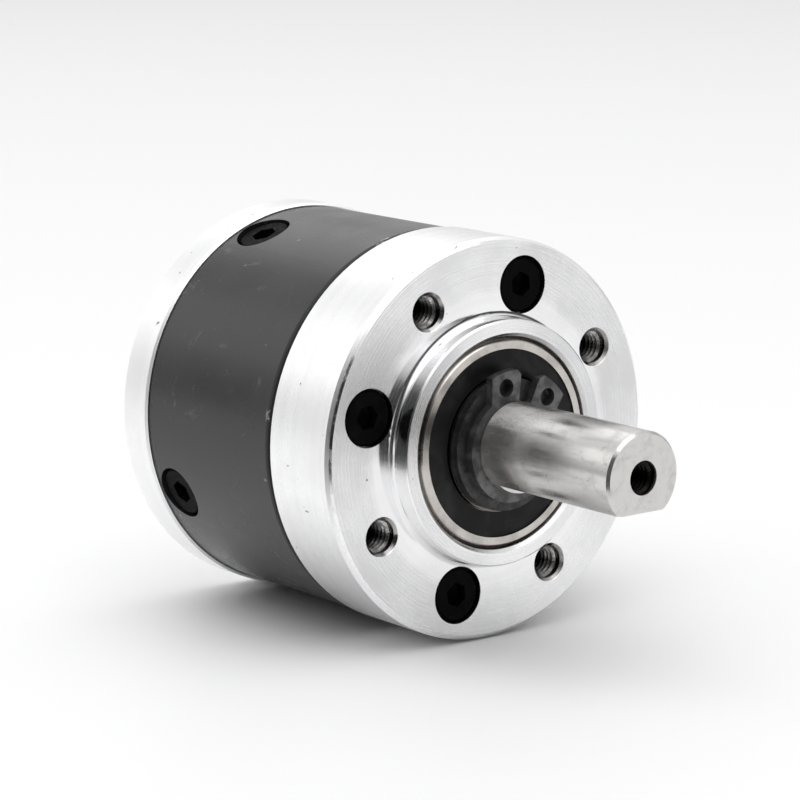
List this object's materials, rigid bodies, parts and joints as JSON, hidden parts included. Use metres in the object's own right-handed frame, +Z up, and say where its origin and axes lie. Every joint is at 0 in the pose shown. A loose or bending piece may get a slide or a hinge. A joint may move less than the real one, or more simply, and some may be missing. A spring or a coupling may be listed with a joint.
{
  "type": "planetary gearbox",
  "caption": "Inline planetary gearbox with a round flange, a pilot boss and a D-flat output shaft; a motor bolts to its rear flange and drives it through a bored pinion.",
  "frame": {"origin": "on the shaft's axis, in the plane of the front flange's face, at the foot of the pilot boss", "axes": "-Y along the output shaft, out of the gearbox; +Z up; +X to the right when the shaft points at the viewer"},
  "size_m": [0.0362, 0.051, 0.0362],
  "materials": {
    "flange_aluminium": "turned, satin",
    "rear_aluminium": "turned, satin",
    "black_steel": "black oxide, satin",
    "black_screw": "black oxide",
    "shim_steel": "ground",
    "bearing_steel": "polished",
    "seal_rubber": "moulded, satin",
    "ball_steel": "mirror polished",
    "cage_plastic": "moulded",
    "shaft_steel": "ground, lightly scratched",
    "clip_steel": "phosphated",
    "washer_steel": "rolled, oiled",
    "carrier_steel": "machined",
    "pin_steel": "ground",
    "washer_bronze": "plain",
    "gear_steel": "hobbed, oiled",
    "pinion_steel": "hobbed, oiled"
  },
  "bodies": {
    "housing": {"front_flange": "flange_aluminium", "ring_gear_housing": "black_steel", "rear_flange": "rear_aluminium", "flange_screws": "black_screw", "radial_screws": "black_screw", "wear_plate": "shim_steel", "front_bearing_outer_ring": "bearing_steel", "front_bearing_outer_seal": "seal_rubber", "front_bearing_inner_seal": "seal_rubber", "rear_bearing_outer_ring": "bearing_steel", "rear_bearing_outer_seal": "seal_rubber", "rear_bearing_inner_seal": "seal_rubber"},
    "output": {"output_shaft": "shaft_steel", "circlip": "clip_steel", "circlip_shim": "washer_steel", "bearing_spacer": "shim_steel", "carrier_shim": "shim_steel", "output_carrier": "carrier_steel", "output_planet_pins": "pin_steel", "output_planet_washers": "washer_bronze", "front_bearing_inner_ring": "bearing_steel", "rear_bearing_inner_ring": "bearing_steel"},
    "front_ball_set": {"front_bearing_balls": "ball_steel", "front_bearing_cage": "cage_plastic"},
    "rear_ball_set": {"rear_bearing_balls": "ball_steel", "rear_bearing_cage": "cage_plastic"},
    "output_planet_1": {"output_planet_1": "gear_steel"},
    "output_planet_2": {"output_planet_2": "gear_steel"},
    "output_planet_3": {"output_planet_3": "gear_steel"},
    "output_planet_4": {"output_planet_4": "gear_steel"},
    "input_stage": {"input_carrier": "carrier_steel", "output_sun_gear": "gear_steel", "input_planet_pins": "pin_steel", "input_planet_washers": "washer_bronze"},
    "input_planet_1": {"input_planet_1": "gear_steel"},
    "input_planet_2": {"input_planet_2": "gear_steel"},
    "input_planet_3": {"input_planet_3": "gear_steel"},
    "input_planet_4": {"input_planet_4": "gear_steel"},
    "input_pinion": {"input_pinion": "pinion_steel"}
  },
  "joints": [
    {"name": "output_spin", "type": "hinge", "parent": "housing", "child": "output", "pos_m": [0, 0, 0], "axis": [0, -1, 0], "continuous": true},
    {"name": "front_ball_set_spin", "type": "hinge", "parent": "housing", "child": "front_ball_set", "pos_m": [0, 0.0007, 0], "axis": [0, -1, 0], "continuous": true},
    {"name": "rear_ball_set_spin", "type": "hinge", "parent": "housing", "child": "rear_ball_set", "pos_m": [0, 0.0063, 0], "axis": [0, -1, 0], "continuous": true},
    {"name": "output_planet_1_spin", "type": "hinge", "parent": "output", "child": "output_planet_1", "pos_m": [0.0078, 0.0136, 0], "axis": [0, -1, 0], "continuous": true},
    {"name": "output_planet_2_spin", "type": "hinge", "parent": "output", "child": "output_planet_2", "pos_m": [0, 0.0136, 0.0078], "axis": [0, -1, 0], "continuous": true},
    {"name": "output_planet_3_spin", "type": "hinge", "parent": "output", "child": "output_planet_3", "pos_m": [-0.0078, 0.0136, 0], "axis": [0, -1, 0], "continuous": true},
    {"name": "output_planet_4_spin", "type": "hinge", "parent": "output", "child": "output_planet_4", "pos_m": [0, 0.0136, -0.0078], "axis": [0, -1, 0], "continuous": true},
    {"name": "input_stage_spin", "type": "hinge", "parent": "housing", "child": "input_stage", "pos_m": [0, 0.0168, 0], "axis": [0, -1, 0], "continuous": true},
    {"name": "input_planet_1_spin", "type": "hinge", "parent": "input_stage", "child": "input_planet_1", "pos_m": [0.00552, 0.0199, 0.00552], "axis": [0, -1, 0], "continuous": true},
    {"name": "input_planet_2_spin", "type": "hinge", "parent": "input_stage", "child": "input_planet_2", "pos_m": [-0.00552, 0.0199, 0.00552], "axis": [0, -1, 0], "continuous": true},
    {"name": "input_planet_3_spin", "type": "hinge", "parent": "input_stage", "child": "input_planet_3", "pos_m": [-0.00552, 0.0199, -0.00552], "axis": [0, -1, 0], "continuous": true},
    {"name": "input_planet_4_spin", "type": "hinge", "parent": "input_stage", "child": "input_planet_4", "pos_m": [0.00552, 0.0199, -0.00552], "axis": [0, -1, 0], "continuous": true},
    {"name": "input_pinion_spin", "type": "hinge", "parent": "housing", "child": "input_pinion", "pos_m": [0, 0.022, 0], "axis": [0, -1, 0], "continuous": true}
  ],
  "couplings": [
    {"joint": "front_ball_set_spin", "follows": "output_spin", "ratio": 0.41793},
    {"joint": "rear_ball_set_spin", "follows": "output_spin", "ratio": 0.41793},
    {"joint": "output_planet_1_spin", "follows": "output_spin", "ratio": -3.1667},
    {"joint": "output_planet_2_spin", "follows": "output_spin", "ratio": -3.1667},
    {"joint": "output_planet_3_spin", "follows": "output_spin", "ratio": -3.1667},
    {"joint": "output_planet_4_spin", "follows": "output_spin", "ratio": -3.1667},
    {"joint": "input_stage_spin", "follows": "output_spin", "ratio": 3.7143},
    {"joint": "input_planet_1_spin", "follows": "output_spin", "ratio": -11.762},
    {"joint": "input_planet_2_spin", "follows": "output_spin", "ratio": -11.762},
    {"joint": "input_planet_3_spin", "follows": "output_spin", "ratio": -11.762},
    {"joint": "input_planet_4_spin", "follows": "output_spin", "ratio": -11.762},
    {"joint": "input_pinion_spin", "follows": "output_spin", "ratio": 13.796}
  ]
}
